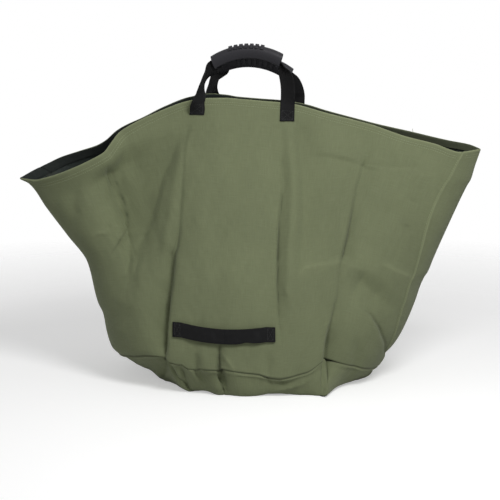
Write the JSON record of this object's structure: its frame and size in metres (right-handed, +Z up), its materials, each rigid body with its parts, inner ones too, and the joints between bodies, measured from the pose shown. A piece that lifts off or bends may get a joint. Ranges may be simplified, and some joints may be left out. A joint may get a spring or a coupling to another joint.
{
  "type": "leaf bag",
  "caption": "Soft garden leaf bag on a round base, its mouth pinched nearly shut, with webbing handles in ribbed grips and a pull strap low on the front.",
  "frame": {"origin": "middle of the base's outline on the floor", "axes": "+X along the mouth to the right of someone facing the pull strap, +Y from the front wall to the back wall, +Z up"},
  "size_m": [0.821, 0.391, 0.5932],
  "materials": {
    "canvas": "matt olive green coated canvas",
    "tape": "matt dark olive binding tape",
    "stay": "natural white plastic strip",
    "webbing": "matt black woven webbing",
    "grip_rubber": "satin charcoal moulded rubber"
  },
  "bodies": {
    "bag": {"front_panel": "canvas", "back_panel": "canvas", "base_panel": "canvas", "left_seam_tape": "tape", "right_seam_tape": "tape", "front_rim_stay": "stay", "back_rim_stay": "stay", "front_left_tab": "webbing", "front_right_tab": "webbing", "back_left_tab": "webbing", "back_right_tab": "webbing", "pull_strap_left_end": "webbing", "pull_strap_right_end": "webbing"},
    "front_handle": {"front_handle_webbing": "webbing", "front_grip": "grip_rubber"},
    "back_handle": {"back_handle_webbing": "webbing", "back_grip": "grip_rubber"},
    "pull_loop": {"pull_strap": "webbing"}
  },
  "joints": [
    {"name": "front_handle_fold", "type": "hinge", "parent": "bag", "child": "front_handle", "pos_m": [-0.08659, -0.02499, 0.50481], "axis": [0.9987, -0.0092, -0.051], "range_deg": [0, 140]},
    {"name": "back_handle_fold", "type": "hinge", "parent": "bag", "child": "back_handle", "pos_m": [0.08518, 0.02211, 0.4919], "axis": [-0.9956, 0.023, 0.0913], "range_deg": [0, 150]},
    {"name": "pull_strap_lift", "type": "hinge", "parent": "bag", "child": "pull_loop", "pos_m": [-0.0448, -0.17036, 0.13199], "axis": [-0.99, 0.1283, 0.0593], "range_deg": [0, 75]}
  ]
}
